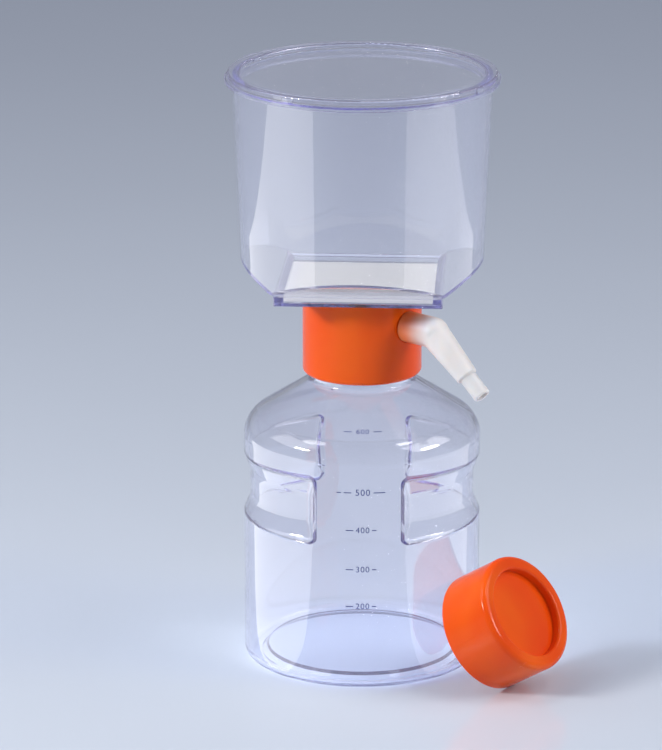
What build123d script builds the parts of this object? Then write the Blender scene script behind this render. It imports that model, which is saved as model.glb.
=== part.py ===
from build123d import *
import os
from math import cos, radians, sin, tan

# Bottle-top vacuum filtration unit, in millimetres.
# The origin is the centre of the bottle's foot, +Z is up, and the grip panels face -Y and +Y.
# A clear round funnel with four flats ends in a square foot, which clamps a membrane on a ribbed plate.
# The plate closes an orange collar, which screws on the bottle and carries the vacuum port.

os.makedirs("parts", exist_ok=True)

# ---------------------------------------------------------------- driving dimensions
# Bottle body
BODY_RADIUS = 46.6
BODY_WALL = 1.8
HEEL_RADIUS = 3.6
FOOT_WIDTH = 3.4
PUSH_UP_HEIGHT = 2.4
PUSH_UP_RUN = 2.6
SHOULDER_ANGLE = 33.0
SHOULDER_BLEND = 11.0
SHOULDER_TOP_Z = 114.0

# Bottle neck and its thread envelope
NECK_BORE_RADIUS = 18.9
NECK_WALL = 1.4
NECK_HEIGHT = 19.0
NECK_ROOT_BLEND = 1.5
LIP_ROUND = 0.5
THREAD_HEIGHT = 1.0
THREAD_CLEARANCE = 0.3

# Grip recesses, one on each side, between the front and back panels
GRIP_DEPTH = 2.5
GRIP_AXIS_SHIFT = 3.2
GRIP_FLOOR_BOTTOM_Z = 65.5
GRIP_FLOOR_TOP_Z = 76.5
GRIP_EDGE_BOTTOM_Z = 59.7
GRIP_EDGE_TOP_Z = 83.8
GRIP_LEDGE = 0.25
GRIP_FLOOR_BLEND = 8.0
GRIP_LEDGE_ROUND = 2.0
GRIP_CORNER_ROUND = 2.0
GRIP_EDGE_ROUND = 2.0
GRIP_TURN = -2.0
PANEL_HALF_ANGLE = 22.0
PANEL_STEP_SLANT = 44.0

# Neck gasket
GASKET_THICKNESS = 1.4
GASKET_CLEARANCE = 0.3

# Collar
COLLAR_RADIUS = 23.4
COLLAR_SHOULDER_GAP = 3.4
COLLAR_EDGE_ROUND = 1.6
CHAMBER_RADIUS = 20.6
SEAT_BORE_RADIUS = 16.0
SEAT_THICKNESS = 2.0
CHAMBER_HEIGHT = 14.6

# Vacuum port on the collar's side
PORT_BEARING = -41.2
PORT_RISE = 2.2
PORT_BORE_RADIUS = 2.1
PORT_BOSS_RADIUS = 6.4
PORT_BOSS_SINK = 0.6
NIPPLE_RADIUS = 4.3
NIPPLE_LENGTH = 10.3
NIPPLE_BEAD = 0.35
NIPPLE_BEAD_WIDTH = 1.2
NIPPLE_BEAD_SETBACK = 2.2
NIPPLE_CHAMFER = 0.5

# Angled hose connector
SLEEVE_RADIUS = 6.05
SLEEVE_FIT = 0.06
SLEEVE_GAP = 0.3
SLEEVE_LENGTH = 13.4
SLEEVE_ROUND = 0.5
ARM_DROP_ANGLE = 40.0
ARM_ROOT_RADIUS = 5.9
ARM_END_RADIUS = 4.35
ARM_LENGTH = 22.2
TIP_STEP = 0.7
TIP_RADIUS = 3.4
TIP_LENGTH = 9.6
TIP_BORE_RADIUS = 2.1
TIP_CHAMFER = 0.4

# Square foot, support plate and membrane
FOOT_TURN = -3.5
FOOT_HALF = 32.6
FOOT_CORNER_ROUND = 0.8
SEAM_GAP = 0.05
PLATE_FLOOR = 0.8
PLATE_RIB_HEIGHT = 0.3
PLATE_RIB_WIDTH = 0.8
PLATE_RIB_PITCH = 3.2
PLATE_CHANNEL_WIDTH = 3.0
PLATE_LAND_WIDTH = 1.2
SPIGOT_DEPTH = 3.0
SPIGOT_WALL = 1.4
SPIGOT_CLEARANCE = 0.1
DRAIN_BORE_RADIUS = 3.4
DRAIN_WALL = 1.2
DRAIN_LENGTH = 25.0
DRAIN_CUT_ANGLE = 30.0
MEMBRANE_THICKNESS = 0.2
MEMBRANE_MARGIN = 0.3
SEAL_WIDTH = 3.8

# Funnel
FUNNEL_WALL = 1.5
FUNNEL_SKIRT = 2.15
FUNNEL_LEDGE = 1.0
FUNNEL_ROOT_RADIUS = 47.2
FUNNEL_TOP_RADIUS = 50.4
FUNNEL_HEIGHT = 78.1
FLAT_RISE_ANGLE = 28.3
RIM_OVERHANG = 3.0
RIM_FLANGE_THICKNESS = 2.0
RIM_EDGE_ROUND = 0.6
LUG_COUNT = 4
LUG_BEARING = 57.0
LUG_WIDTH = 4.6
LUG_THICKNESS = 0.9
LUG_HEIGHT = 1.8

# Lid
LID_THICKNESS = 2.2
LID_LUG_CLEARANCE = 0.2
LID_PLUG_CLEARANCE = 0.4
LID_PLUG_DEPTH = 1.8
LID_PANEL = 1.2
LID_EDGE_ROUND = 0.6

# Loose storage cap, leaning on the bottle
CAP_RADIUS = 23.5
CAP_HEIGHT = 23.6
CAP_TOP_THICKNESS = 2.0
CAP_WELL_RADIUS = 17.9
CAP_WELL_DEPTH = 3.6
CAP_WELL_FLOOR = 1.4
CAP_WELL_ROUND = 1.1
CAP_PLUG_CLEARANCE = 0.2
CAP_PLUG_LENGTH = 3.0
CAP_TOP_ROUND = 2.4
CAP_FOOT_ROUND = 0.6
CAP_TILT = 32.3
CAP_BEARING = -36.0
CAP_LEAN_GAP = 0.3

# ---------------------------------------------------------------- derived sizes and places
NECK_RADIUS = NECK_BORE_RADIUS + NECK_WALL
THREAD_RADIUS = NECK_RADIUS + THREAD_HEIGHT
SKIRT_BORE_RADIUS = THREAD_RADIUS + THREAD_CLEARANCE
LIP_Z = SHOULDER_TOP_Z + NECK_HEIGHT
SEAT_Z = LIP_Z + GASKET_THICKNESS
CHAMBER_FLOOR_Z = SEAT_Z + SEAT_THICKNESS
COLLAR_TOP_Z = CHAMBER_FLOOR_Z + CHAMBER_HEIGHT
SHOULDER_SLOPE = tan(radians(SHOULDER_ANGLE))
SHOULDER_UNDER_SKIRT_Z = SHOULDER_TOP_Z - (SKIRT_BORE_RADIUS - NECK_RADIUS) * SHOULDER_SLOPE
COLLAR_BOTTOM_Z = SHOULDER_UNDER_SKIRT_Z + COLLAR_SHOULDER_GAP

PORT_Z = CHAMBER_FLOOR_Z + PORT_RISE
PORT_DIRECTION = Vector(cos(radians(PORT_BEARING)), sin(radians(PORT_BEARING)), 0)
UP = Vector(0, 0, 1)
PORT_AXIS = Axis((0, 0, PORT_Z), PORT_DIRECTION)
PORT_SIDE = Plane(origin=(0, 0, PORT_Z), x_dir=PORT_DIRECTION, z_dir=PORT_DIRECTION.cross(UP))
BOSS_FACE = COLLAR_RADIUS - PORT_BOSS_SINK
NIPPLE_END = BOSS_FACE + NIPPLE_LENGTH
SLEEVE_BORE_RADIUS = NIPPLE_RADIUS + SLEEVE_FIT
SLEEVE_MOUTH = BOSS_FACE + SLEEVE_GAP
ELBOW_REACH = SLEEVE_MOUTH + SLEEVE_LENGTH
ARM_DIRECTION = PORT_DIRECTION * cos(radians(ARM_DROP_ANGLE)) - UP * sin(radians(ARM_DROP_ANGLE))
ELBOW = Vector(0, 0, PORT_Z) + PORT_DIRECTION * ELBOW_REACH
ARM_AXIS = Axis(ELBOW, ARM_DIRECTION)
ARM_SIDE = Plane(origin=ELBOW, x_dir=ARM_DIRECTION, z_dir=PORT_DIRECTION.cross(UP))
TIP_START = ARM_LENGTH + TIP_STEP
TIP_END = TIP_START + TIP_LENGTH

PLATE_Z = COLLAR_TOP_Z + SEAM_GAP
PLATE_FLOOR_Z = PLATE_Z + PLATE_FLOOR
RIB_TOP_Z = PLATE_FLOOR_Z + PLATE_RIB_HEIGHT
MEMBRANE_Z = RIB_TOP_Z + SEAM_GAP
PLATE_TOP_Z = MEMBRANE_Z + MEMBRANE_THICKNESS
FOOT_Z = PLATE_TOP_Z + SEAM_GAP
LAND_HALF = FOOT_HALF - PLATE_LAND_WIDTH
MEMBRANE_HALF = LAND_HALF - MEMBRANE_MARGIN
WINDOW_HALF = FOOT_HALF - SEAL_WIDTH
SKIRT_TOP_Z = FOOT_Z + FUNNEL_SKIRT
RIM_FLANGE_Z = SKIRT_TOP_Z + FUNNEL_HEIGHT
RIM_Z = RIM_FLANGE_Z + RIM_FLANGE_THICKNESS
RIM_FLANGE_RADIUS = FUNNEL_TOP_RADIUS + RIM_OVERHANG
LID_RADIUS = RIM_FLANGE_RADIUS - LUG_THICKNESS - LID_LUG_CLEARANCE
FUNNEL_MOUTH_RADIUS = FUNNEL_TOP_RADIUS - FUNNEL_WALL
LID_PLUG_RADIUS = FUNNEL_MOUTH_RADIUS - LID_PLUG_CLEARANCE

CAP_PLUG_RADIUS = NECK_BORE_RADIUS - CAP_PLUG_CLEARANCE
CAP_ROOF = CAP_HEIGHT - CAP_WELL_DEPTH - CAP_WELL_FLOOR
CAP_OUTWARD = Vector(cos(radians(CAP_BEARING)), sin(radians(CAP_BEARING)), 0)
CAP_DIRECTION = CAP_OUTWARD * cos(radians(CAP_TILT)) + UP * sin(radians(CAP_TILT))
CAP_RIM_RADIUS = CAP_RADIUS - CAP_FOOT_ROUND
CAP_CENTRE_Z = CAP_RIM_RADIUS * cos(radians(CAP_TILT)) + CAP_FOOT_ROUND * (1 - sin(radians(CAP_TILT)))
CAP_CENTRE_REACH = (
    BODY_RADIUS
    + CAP_LEAN_GAP
    + CAP_RIM_RADIUS * sin(radians(CAP_TILT))
    + CAP_FOOT_ROUND * (1 - cos(radians(CAP_TILT)))
)
CAP_CENTRE = CAP_OUTWARD * CAP_CENTRE_REACH + UP * CAP_CENTRE_Z
CAP_ACROSS = CAP_OUTWARD.cross(UP)
CAP_SIDE = Plane(origin=CAP_CENTRE, x_dir=CAP_ACROSS, z_dir=CAP_ACROSS.cross(CAP_DIRECTION))


def corner(sketch, x, y):
    """The sketch vertex nearest to a point of its own plane."""
    return sketch.vertices().sort_by_distance(Vector(x, y))[0]


def turned_square(height):
    """The plane of the square foot at a height, turned as the funnel stands on the bottle."""
    turned_x = Vector(cos(radians(FOOT_TURN)), sin(radians(FOOT_TURN)), 0)
    return Plane(origin=(0, 0, height), x_dir=turned_x, z_dir=UP)


# ---------------------------------------------------------------- bottle
def bottle_body(inset, lip_z, neck_radius):
    """The bottle's outside, or its cavity when every wall is inset, as a turned solid."""
    radius = BODY_RADIUS - inset
    foot_out = BODY_RADIUS - HEEL_RADIUS
    foot_in = foot_out - FOOT_WIDTH
    push_up_in = foot_in - PUSH_UP_RUN
    cone_drop = inset / cos(radians(SHOULDER_ANGLE))
    neck_z = SHOULDER_TOP_Z + (NECK_RADIUS - neck_radius) * SHOULDER_SLOPE - cone_drop
    shoulder_z = SHOULDER_TOP_Z - (radius - NECK_RADIUS) * SHOULDER_SLOPE - cone_drop
    with BuildPart() as body:
        with BuildSketch(Plane.XZ) as profile:
            with BuildLine():
                Polyline(
                    (0, PUSH_UP_HEIGHT + inset),
                    (push_up_in, PUSH_UP_HEIGHT + inset),
                    (foot_in, inset),
                    (radius, inset),
                    (radius, shoulder_z),
                    (neck_radius, neck_z),
                    (neck_radius, lip_z),
                    (0, lip_z),
                    close=True,
                )
            make_face()
            fillet(corner(profile, radius, inset), HEEL_RADIUS - inset / 2)
            fillet(corner(profile, radius, shoulder_z), SHOULDER_BLEND - inset)
            fillet(corner(profile, neck_radius, neck_z), NECK_ROOT_BLEND + inset)
        revolve(axis=Axis.Z)
    return body.part


def step_edges(recess, axis_x, outside):
    """The edges of a recess's two upright flat steps, apart from those on its outer wall."""
    steps = [face for face in recess.faces().filter_by(GeomType.PLANE) if abs(face.normal_at().Z) < 0.5]
    edges = [edge for step in steps for edge in step.edges()]
    return [edge for edge in edges if Vector((edge @ 0.5).X - axis_x, (edge @ 0.5).Y).length < outside - 0.01]


def grip_recess(side, swell):
    """The cutter of one grip recess; side is 1 or -1, and swell grows it by a wall for the cavity."""
    axis_x = side * GRIP_AXIS_SHIFT
    surface = BODY_RADIUS - GRIP_AXIS_SHIFT
    floor = surface - GRIP_DEPTH
    outside = surface + 4 * GRIP_DEPTH
    top_run = (GRIP_EDGE_TOP_Z - GRIP_FLOOR_TOP_Z) / GRIP_DEPTH
    bottom_run = (GRIP_FLOOR_BOTTOM_Z - GRIP_EDGE_BOTTOM_Z) / GRIP_DEPTH
    ledge_top_z = GRIP_EDGE_TOP_Z + GRIP_LEDGE * top_run
    ledge_bottom_z = GRIP_EDGE_BOTTOM_Z - GRIP_LEDGE * bottom_run
    edge_x = BODY_RADIUS * sin(radians(PANEL_HALF_ANGLE))
    edge_y = BODY_RADIUS * cos(radians(PANEL_HALF_ANGLE))
    slant = radians(PANEL_STEP_SLANT - PANEL_HALF_ANGLE)
    reach = BODY_RADIUS
    with BuildPart() as recess:
        with BuildSketch(Plane(origin=(axis_x, 0, 0), x_dir=(side, 0, 0), z_dir=(0, -side, 0))) as waist:
            with BuildLine():
                Polyline(
                    (floor, GRIP_FLOOR_BOTTOM_Z),
                    (floor, GRIP_FLOOR_TOP_Z),
                    (surface + GRIP_LEDGE, ledge_top_z),
                    (outside, ledge_top_z),
                    (outside, ledge_bottom_z),
                    (surface + GRIP_LEDGE, ledge_bottom_z),
                    close=True,
                )
            make_face()
            fillet(corner(waist, floor, GRIP_FLOOR_BOTTOM_Z), GRIP_FLOOR_BLEND)
            fillet(corner(waist, floor, GRIP_FLOOR_TOP_Z), GRIP_FLOOR_BLEND)
            fillet(corner(waist, surface + GRIP_LEDGE, ledge_bottom_z), GRIP_LEDGE_ROUND)
            fillet(corner(waist, surface + GRIP_LEDGE, ledge_top_z), GRIP_LEDGE_ROUND)
            if swell:
                offset(amount=swell, kind=Kind.INTERSECTION)
        revolve(axis=Axis((axis_x, 0, 0), (0, 0, 1)))
        with BuildSketch() as sector:
            with BuildLine():
                Polyline(
                    (side * (edge_x - reach * sin(slant)), -edge_y - reach * cos(slant)),
                    (side * (edge_x + edge_y * tan(slant)), 0),
                    (side * (edge_x - reach * sin(slant)), edge_y + reach * cos(slant)),
                    (side * 2 * BODY_RADIUS, edge_y + reach * cos(slant)),
                    (side * 2 * BODY_RADIUS, -edge_y - reach * cos(slant)),
                    close=True,
                )
            make_face()
            if swell:
                offset(amount=swell, kind=Kind.INTERSECTION)
        extrude(amount=SHOULDER_TOP_Z, mode=Mode.INTERSECT)
        fillet(step_edges(recess, axis_x, outside + swell), GRIP_CORNER_ROUND + swell)
    return Rot(0, 0, GRIP_TURN) * recess.part


def on_body_wall(edge):
    """Whether the ends and the middle of an edge lie on the bottle's round wall."""
    points = (edge @ 0, edge @ 0.5, edge @ 1)
    return all(abs(Vector(point.X, point.Y).length - BODY_RADIUS) < 0.01 for point in points)


bottle_outside = bottle_body(0, LIP_Z, NECK_RADIUS)
bottle_inside = bottle_body(BODY_WALL, LIP_Z + NECK_WALL, NECK_BORE_RADIUS)
grips_outside = [grip_recess(side, 0) for side in (1, -1)]
grips_inside = [grip_recess(side, BODY_WALL) for side in (1, -1)]

with BuildPart() as bottle_cavity:
    add(bottle_inside)
    for grip in grips_inside:
        add(grip, mode=Mode.SUBTRACT)

with BuildPart() as bottle:
    add(bottle_outside)
    for grip in grips_outside:
        add(grip, mode=Mode.SUBTRACT)
    grip_band = (GRIP_EDGE_BOTTOM_Z - GRIP_DEPTH, GRIP_EDGE_TOP_Z + GRIP_DEPTH)
    grip_rims = bottle.edges().filter_by_position(Axis.Z, *grip_band).filter_by(on_body_wall)
    fillet(grip_rims, GRIP_EDGE_ROUND)
    add(bottle_cavity.part, mode=Mode.SUBTRACT)
    lip_edges = bottle.edges().filter_by(GeomType.CIRCLE).group_by(Axis.Z)[-1]
    fillet(lip_edges, LIP_ROUND)
bottle.part.label = "bottle"

# ---------------------------------------------------------------- neck gasket
with BuildPart() as neck_gasket:
    with BuildSketch(Plane.XY.offset(LIP_Z)):
        Circle(SKIRT_BORE_RADIUS - GASKET_CLEARANCE)
        Circle(NECK_BORE_RADIUS, mode=Mode.SUBTRACT)
    extrude(amount=GASKET_THICKNESS)
neck_gasket.part.label = "neck_gasket"

# ---------------------------------------------------------------- collar with the vacuum port
with BuildPart() as collar:
    with BuildSketch(Plane.XZ) as collar_profile:
        with BuildLine():
            Polyline(
                (SKIRT_BORE_RADIUS, COLLAR_BOTTOM_Z),
                (COLLAR_RADIUS, COLLAR_BOTTOM_Z),
                (COLLAR_RADIUS, COLLAR_TOP_Z),
                (CHAMBER_RADIUS, COLLAR_TOP_Z),
                (CHAMBER_RADIUS, CHAMBER_FLOOR_Z),
                (SEAT_BORE_RADIUS, CHAMBER_FLOOR_Z),
                (SEAT_BORE_RADIUS, SEAT_Z),
                (SKIRT_BORE_RADIUS, SEAT_Z),
                close=True,
            )
        make_face()
        skirt_edge = min(COLLAR_EDGE_ROUND, COLLAR_RADIUS - SKIRT_BORE_RADIUS - 0.1)
        fillet(corner(collar_profile, COLLAR_RADIUS, COLLAR_BOTTOM_Z), skirt_edge)
    revolve(axis=Axis.Z)
    with BuildSketch(Plane(origin=PORT_DIRECTION * BOSS_FACE + UP * PORT_Z, z_dir=PORT_DIRECTION)):
        Circle(PORT_BOSS_RADIUS)
    extrude(amount=NIPPLE_LENGTH, mode=Mode.SUBTRACT)
    with BuildSketch(PORT_SIDE):
        bead_end = NIPPLE_END - NIPPLE_BEAD_SETBACK
        bead_start = bead_end - NIPPLE_BEAD_WIDTH
        with BuildLine():
            Polyline(
                (CHAMBER_RADIUS, 0),
                (CHAMBER_RADIUS, PORT_BOSS_RADIUS),
                (BOSS_FACE, PORT_BOSS_RADIUS),
                (BOSS_FACE, NIPPLE_RADIUS),
                (bead_start, NIPPLE_RADIUS),
                (bead_start + NIPPLE_BEAD, NIPPLE_RADIUS + NIPPLE_BEAD),
                (bead_end - NIPPLE_BEAD, NIPPLE_RADIUS + NIPPLE_BEAD),
                (bead_end, NIPPLE_RADIUS),
                (NIPPLE_END - NIPPLE_CHAMFER, NIPPLE_RADIUS),
                (NIPPLE_END, NIPPLE_RADIUS - NIPPLE_CHAMFER),
                (NIPPLE_END, 0),
                close=True,
            )
        make_face()
    revolve(axis=PORT_AXIS)
    with BuildSketch(Plane.XY.offset(CHAMBER_FLOOR_Z)):
        Circle(CHAMBER_RADIUS)
    extrude(amount=CHAMBER_HEIGHT, mode=Mode.SUBTRACT)
    with BuildSketch(Plane.XY.offset(COLLAR_BOTTOM_Z)):
        Circle(SKIRT_BORE_RADIUS)
    extrude(amount=SEAT_Z - COLLAR_BOTTOM_Z, mode=Mode.SUBTRACT)
    with BuildSketch(Plane(origin=(0, 0, PORT_Z), x_dir=UP, z_dir=PORT_DIRECTION)):
        Circle(PORT_BORE_RADIUS)
    extrude(amount=NIPPLE_END, mode=Mode.SUBTRACT)
collar.part.label = "collar"

# ---------------------------------------------------------------- angled hose connector
with BuildPart() as hose_connector:
    with BuildSketch(PORT_SIDE) as sleeve_profile:
        with BuildLine():
            Polyline(
                (SLEEVE_MOUTH, 0),
                (SLEEVE_MOUTH, SLEEVE_RADIUS),
                (ELBOW_REACH, SLEEVE_RADIUS),
                (ELBOW_REACH, 0),
                close=True,
            )
        make_face()
        fillet(corner(sleeve_profile, SLEEVE_MOUTH, SLEEVE_RADIUS), SLEEVE_ROUND)
    revolve(axis=PORT_AXIS)
    with Locations(ELBOW):
        Sphere(SLEEVE_RADIUS)
    with BuildSketch(ARM_SIDE) as arm_profile:
        with BuildLine():
            Polyline(
                (0, 0),
                (0, ARM_ROOT_RADIUS),
                (ARM_LENGTH, ARM_END_RADIUS),
                (TIP_START, TIP_RADIUS),
                (TIP_END - TIP_CHAMFER, TIP_RADIUS),
                (TIP_END, TIP_RADIUS - TIP_CHAMFER),
                (TIP_END, 0),
                close=True,
            )
        make_face()
    revolve(axis=ARM_AXIS)
    with BuildSketch(PORT_SIDE):
        groove_end = NIPPLE_END - NIPPLE_BEAD_SETBACK + SLEEVE_FIT
        groove_start = groove_end - NIPPLE_BEAD_WIDTH - 2 * SLEEVE_FIT
        groove_radius = SLEEVE_BORE_RADIUS + NIPPLE_BEAD
        sleeve_floor = NIPPLE_END + SLEEVE_GAP
        with BuildLine():
            Polyline(
                (SLEEVE_MOUTH, 0),
                (SLEEVE_MOUTH, SLEEVE_BORE_RADIUS),
                (groove_start, SLEEVE_BORE_RADIUS),
                (groove_start + NIPPLE_BEAD, groove_radius),
                (groove_end - NIPPLE_BEAD, groove_radius),
                (groove_end, SLEEVE_BORE_RADIUS),
                (sleeve_floor, SLEEVE_BORE_RADIUS),
                (sleeve_floor, PORT_BORE_RADIUS),
                (ELBOW_REACH, PORT_BORE_RADIUS),
                (ELBOW_REACH, 0),
                close=True,
            )
        make_face()
    revolve(axis=PORT_AXIS, mode=Mode.SUBTRACT)
    with BuildSketch(Plane(origin=ELBOW, x_dir=PORT_DIRECTION.cross(UP), z_dir=ARM_DIRECTION)):
        Circle(TIP_BORE_RADIUS)
    extrude(amount=TIP_END, mode=Mode.SUBTRACT)
hose_connector.part.label = "hose_connector"

# ---------------------------------------------------------------- support plate with the drain
with BuildPart() as support_plate:
    with BuildSketch(turned_square(PLATE_Z)) as plate_outline:
        Rectangle(2 * FOOT_HALF, 2 * FOOT_HALF)
        fillet(plate_outline.vertices(), FOOT_CORNER_ROUND)
    extrude(amount=PLATE_TOP_Z - PLATE_Z)
    with BuildSketch(turned_square(RIB_TOP_Z)):
        Rectangle(2 * LAND_HALF, 2 * LAND_HALF)
    extrude(amount=PLATE_TOP_Z - RIB_TOP_Z, mode=Mode.SUBTRACT)
    rib_count = int(2 * WINDOW_HALF / PLATE_RIB_PITCH)
    with BuildSketch(turned_square(PLATE_FLOOR_Z)):
        Rectangle(2 * WINDOW_HALF, 2 * WINDOW_HALF)
        with GridLocations(PLATE_RIB_PITCH, 2 * WINDOW_HALF, rib_count, 1):
            Rectangle(PLATE_RIB_WIDTH, 2 * WINDOW_HALF, mode=Mode.SUBTRACT)
        Rectangle(2 * WINDOW_HALF, PLATE_CHANNEL_WIDTH)
    extrude(amount=PLATE_RIB_HEIGHT, mode=Mode.SUBTRACT)
    with BuildSketch(Plane.XY.offset(PLATE_Z)):
        Circle(CHAMBER_RADIUS - SPIGOT_CLEARANCE)
        Circle(CHAMBER_RADIUS - SPIGOT_CLEARANCE - SPIGOT_WALL, mode=Mode.SUBTRACT)
    extrude(amount=-SPIGOT_DEPTH)
    with BuildSketch(Plane.XY.offset(PLATE_Z)):
        Circle(DRAIN_BORE_RADIUS + DRAIN_WALL)
    extrude(amount=-DRAIN_LENGTH)
    with BuildSketch(Plane.XY.offset(PLATE_Z - DRAIN_LENGTH)):
        Circle(DRAIN_BORE_RADIUS)
    extrude(amount=DRAIN_LENGTH + PLATE_FLOOR + PLATE_RIB_HEIGHT, mode=Mode.SUBTRACT)
    spout_radius = DRAIN_BORE_RADIUS + DRAIN_WALL
    cut_rise = 2 * spout_radius * tan(radians(DRAIN_CUT_ANGLE))
    with BuildSketch(Plane.XZ):
        with BuildLine():
            Polyline(
                (-spout_radius, PLATE_Z - DRAIN_LENGTH),
                (spout_radius, PLATE_Z - DRAIN_LENGTH),
                (spout_radius, PLATE_Z - DRAIN_LENGTH + cut_rise),
                close=True,
            )
        make_face()
    extrude(amount=spout_radius, both=True, mode=Mode.SUBTRACT)
support_plate.part.label = "support_plate"

# ---------------------------------------------------------------- membrane
with BuildPart() as membrane:
    with BuildSketch(turned_square(MEMBRANE_Z)):
        Rectangle(2 * MEMBRANE_HALF, 2 * MEMBRANE_HALF)
    extrude(amount=MEMBRANE_THICKNESS)
membrane.part.label = "membrane"


# ---------------------------------------------------------------- funnel
def funnel_body(flat_half, inset):
    """The funnel's outside or its cavity: a drafted round wall, cut by four flats that rise from the foot."""
    top_z = RIM_Z + inset
    top_half = flat_half + (top_z - SKIRT_TOP_Z) / tan(radians(FLAT_RISE_ANGLE))
    with BuildPart() as body:
        with BuildSketch(turned_square(SKIRT_TOP_Z)):
            Rectangle(2 * flat_half, 2 * flat_half)
        with BuildSketch(turned_square(top_z)):
            Rectangle(2 * top_half, 2 * top_half)
        loft(ruled=True)
        with BuildSketch(Plane.XZ):
            with BuildLine():
                Polyline(
                    (0, SKIRT_TOP_Z),
                    (FUNNEL_ROOT_RADIUS - inset, SKIRT_TOP_Z),
                    (FUNNEL_TOP_RADIUS - inset, top_z),
                    (0, top_z),
                    close=True,
                )
            make_face()
        revolve(axis=Axis.Z, mode=Mode.INTERSECT)
    return body.part


funnel_outside = funnel_body(FOOT_HALF - FUNNEL_LEDGE, 0)
funnel_inside = funnel_body(WINDOW_HALF, FUNNEL_WALL)

with BuildPart() as funnel:
    add(funnel_outside)
    with BuildSketch(turned_square(FOOT_Z)):
        RectangleRounded(2 * FOOT_HALF, 2 * FOOT_HALF, FOOT_CORNER_ROUND)
    extrude(amount=FUNNEL_SKIRT)
    with BuildSketch(Plane.XZ) as flange_profile:
        flange_root = FUNNEL_TOP_RADIUS - FUNNEL_WALL / 2
        flange_width = RIM_FLANGE_RADIUS - flange_root
        with Locations((flange_root, RIM_FLANGE_Z)):
            Rectangle(flange_width, RIM_FLANGE_THICKNESS, align=(Align.MIN, Align.MIN))
        fillet(corner(flange_profile, RIM_FLANGE_RADIUS, RIM_FLANGE_Z), RIM_EDGE_ROUND)
    revolve(axis=Axis.Z)
    with BuildSketch(Plane.XY.offset(RIM_Z)):
        with PolarLocations(0, LUG_COUNT, start_angle=LUG_BEARING):
            Rectangle(2 * RIM_FLANGE_RADIUS, LUG_WIDTH, align=(Align.MIN, Align.CENTER))
        Circle(RIM_FLANGE_RADIUS, mode=Mode.INTERSECT)
        Circle(RIM_FLANGE_RADIUS - LUG_THICKNESS, mode=Mode.SUBTRACT)
    extrude(amount=LUG_HEIGHT)
    add(funnel_inside, mode=Mode.SUBTRACT)
    with BuildSketch(turned_square(FOOT_Z)):
        Rectangle(2 * WINDOW_HALF, 2 * WINDOW_HALF)
    extrude(amount=FUNNEL_SKIRT, mode=Mode.SUBTRACT)
funnel.part.label = "funnel"

# ---------------------------------------------------------------- lid
with BuildPart() as lid:
    with BuildSketch(Plane.XZ) as lid_profile:
        seat_z = RIM_Z + SEAM_GAP
        panel_z = seat_z - LID_PLUG_DEPTH
        recess_radius = LID_PLUG_RADIUS - LID_PANEL
        with BuildLine():
            Polyline(
                (0, panel_z),
                (LID_PLUG_RADIUS, panel_z),
                (LID_PLUG_RADIUS, seat_z),
                (LID_RADIUS, seat_z),
                (LID_RADIUS, seat_z + LID_THICKNESS),
                (recess_radius, seat_z + LID_THICKNESS),
                (recess_radius, panel_z + LID_PANEL),
                (0, panel_z + LID_PANEL),
                close=True,
            )
        make_face()
        fillet(corner(lid_profile, LID_RADIUS, seat_z + LID_THICKNESS), LID_EDGE_ROUND)
        fillet(corner(lid_profile, recess_radius, seat_z + LID_THICKNESS), LID_EDGE_ROUND)
        fillet(corner(lid_profile, LID_PLUG_RADIUS, panel_z), LID_EDGE_ROUND)
    revolve(axis=Axis.Z)
lid.part.label = "lid"

# ---------------------------------------------------------------- loose storage cap
with BuildPart() as cap:
    with BuildSketch(CAP_SIDE) as cap_profile:
        with BuildLine():
            Polyline(
                (0, CAP_HEIGHT - CAP_WELL_DEPTH),
                (CAP_WELL_RADIUS, CAP_HEIGHT - CAP_WELL_DEPTH),
                (CAP_WELL_RADIUS, CAP_HEIGHT),
                (CAP_RADIUS, CAP_HEIGHT),
                (CAP_RADIUS, 0),
                (SKIRT_BORE_RADIUS, 0),
                (SKIRT_BORE_RADIUS, CAP_HEIGHT - CAP_TOP_THICKNESS),
                (CAP_PLUG_RADIUS, CAP_HEIGHT - CAP_TOP_THICKNESS),
                (CAP_PLUG_RADIUS, CAP_ROOF - CAP_PLUG_LENGTH),
                (CAP_WELL_RADIUS, CAP_ROOF - CAP_PLUG_LENGTH),
                (CAP_WELL_RADIUS, CAP_ROOF),
                (0, CAP_ROOF),
                close=True,
            )
        make_face()
        fillet(corner(cap_profile, CAP_WELL_RADIUS, CAP_HEIGHT), CAP_WELL_ROUND)
        fillet(corner(cap_profile, CAP_RADIUS, CAP_HEIGHT), CAP_TOP_ROUND)
        fillet(corner(cap_profile, CAP_RADIUS, 0), CAP_FOOT_ROUND)
    revolve(axis=Axis(CAP_CENTRE, CAP_DIRECTION))
cap.part.label = "cap"

# ---------------------------------------------------------------- one STEP file for each piece
pieces = (bottle, neck_gasket, collar, hose_connector, support_plate, membrane, funnel, lid, cap)
for piece in pieces:
    export_step(piece.part, f"parts/{piece.part.label}.step")
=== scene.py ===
"""The looks of a bottle-top vacuum filtration unit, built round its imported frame.

Lengths are in metres in the frame's own axes: +Z is up, the origin is the centre of the
bottle's foot, and the unit is seen from -Y. Sizes in the classes are written in millimetres
and turned into metres with MM where a shape is made.
"""

import logging
from collections.abc import Callable
from dataclasses import dataclass, field
from enum import Enum
from math import atan2, cos, pi, radians, sin, tan

import bmesh
import bpy
from mathutils import Matrix, Vector


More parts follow.
